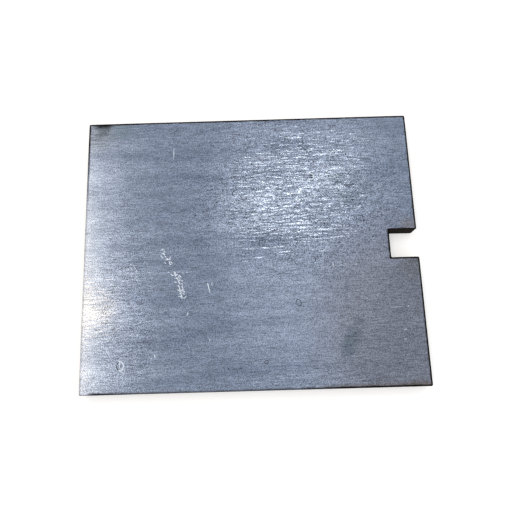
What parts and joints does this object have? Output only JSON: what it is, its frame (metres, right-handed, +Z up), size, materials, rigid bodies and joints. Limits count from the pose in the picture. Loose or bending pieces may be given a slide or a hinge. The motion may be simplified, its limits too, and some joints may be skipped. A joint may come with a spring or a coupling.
{
  "type": "steel plate",
  "caption": "Flat rectangular steel plate with bright ground faces, dark cut edges and a square notch midway along a short edge, used as a blank to weld, clamp or machine.",
  "frame": {"origin": "middle of the plate's rectangular outline, on its underside", "axes": "+X along the length towards the notched edge, +Y across the width, +Z up through the thickness"},
  "size_m": [0.12, 0.1, 0.006],
  "materials": {
    "steel": "ground along the length, satin, with dark oxide on the cut edges"
  },
  "bodies": {
    "root": {"steel_plate": "steel"}
  },
  "joints": []
}
